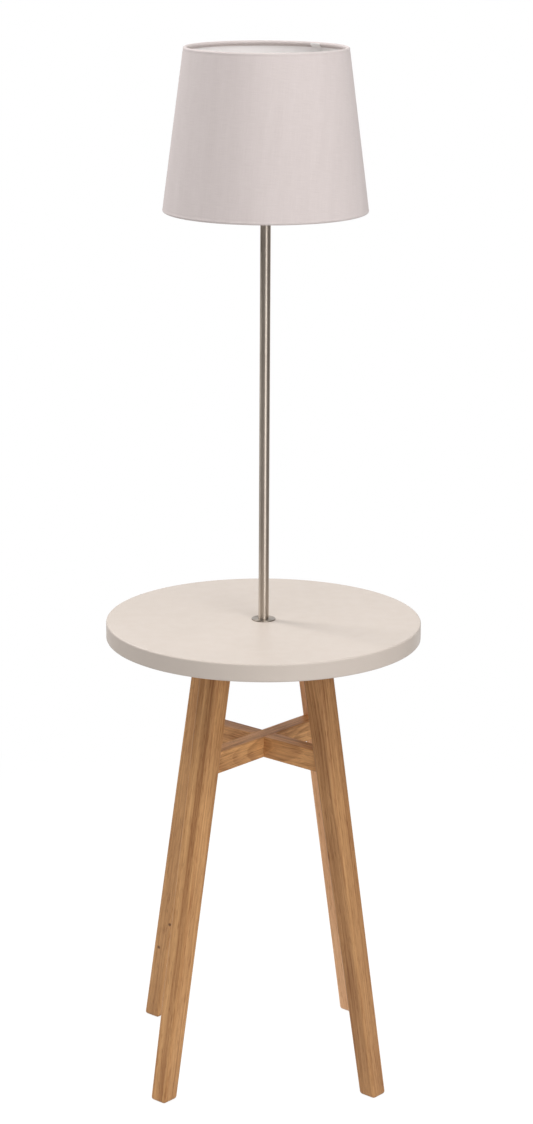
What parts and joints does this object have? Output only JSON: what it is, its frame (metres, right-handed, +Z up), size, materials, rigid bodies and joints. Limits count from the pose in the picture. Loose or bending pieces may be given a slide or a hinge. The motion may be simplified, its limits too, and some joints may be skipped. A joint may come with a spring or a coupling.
{
  "type": "floor lamp with table",
  "caption": "Floor lamp with a round side table on splayed oak legs, a slim metal stem through the top and a tapered fabric shade.",
  "frame": {"origin": "on the floor, on the stem's axis, midway between the four feet", "axes": "+Z up along the stem, front towards -Y, legs on the diagonals between X and Y"},
  "size_m": [0.3999, 0.4, 1.3152],
  "materials": {
    "top_lacquer": "satin lacquer on fibreboard, warm off-white",
    "oak": "oiled oak, straight grain",
    "beech": "plain beech dowel",
    "brushed_nickel": "brushed nickel, drawn lengthwise",
    "zinc_steel": "bright zinc plating",
    "black_plastic": "fine matt",
    "white_plastic": "smooth moulded thermoplastic",
    "ceramic": "unglazed steatite",
    "brass": "plain stamped brass",
    "bulb_cap_metal": "nickel-plated screw cap",
    "bulb_housing": "smooth white plastic",
    "opal": "opal diffusing plastic",
    "shade_cloth": "plain-weave cloth bonded to a stiff sheet, pale greige",
    "shade_lining": "off-white inner side of the laminate",
    "spider_steel": "white powder coat on steel wire"
  },
  "bodies": {
    "stand": {"table_top": "top_lacquer", "leg_front_left": "oak", "leg_front_right": "oak", "leg_back_left": "oak", "leg_back_right": "oak", "stretcher_bar_a": "oak", "stretcher_bar_b": "oak", "upper_rail_a": "oak", "upper_rail_b": "oak", "rail_dowels": "beech", "stretcher_dowels": "beech", "top_screws": "zinc_steel", "stem_tube": "brushed_nickel", "stem_flange": "brushed_nickel", "lower_nipple": "zinc_steel", "clamp_washer": "zinc_steel", "clamp_nut": "zinc_steel", "cord_bush": "black_plastic", "upper_nipple": "zinc_steel", "lampholder_cap": "white_plastic", "lampholder_base": "white_plastic", "lampholder_skirt": "white_plastic", "lampholder_insulator": "ceramic", "lampholder_shell": "brass", "centre_contact": "brass", "terminal_screws": "brass", "shade_ring": "white_plastic", "bulb_cap": "bulb_cap_metal", "bulb_housing": "bulb_housing", "bulb_globe": "opal"},
    "shade": {"shade_cover": "shade_cloth", "shade_seam": "shade_lining", "shade_top_wire": "spider_steel", "shade_bottom_wire": "spider_steel", "shade_spider": "spider_steel"},
    "switch": {"switch_bar": "black_plastic"}
  },
  "joints": [
    {"name": "shade_turn", "type": "hinge", "parent": "stand", "child": "shade", "pos_m": [0, 0, 1.14985], "axis": [0, 0, 1], "continuous": true},
    {"name": "switch_push", "type": "slide", "parent": "stand", "child": "switch", "axis": [1, 0, 0], "range_m": [0, 0.005]}
  ]
}
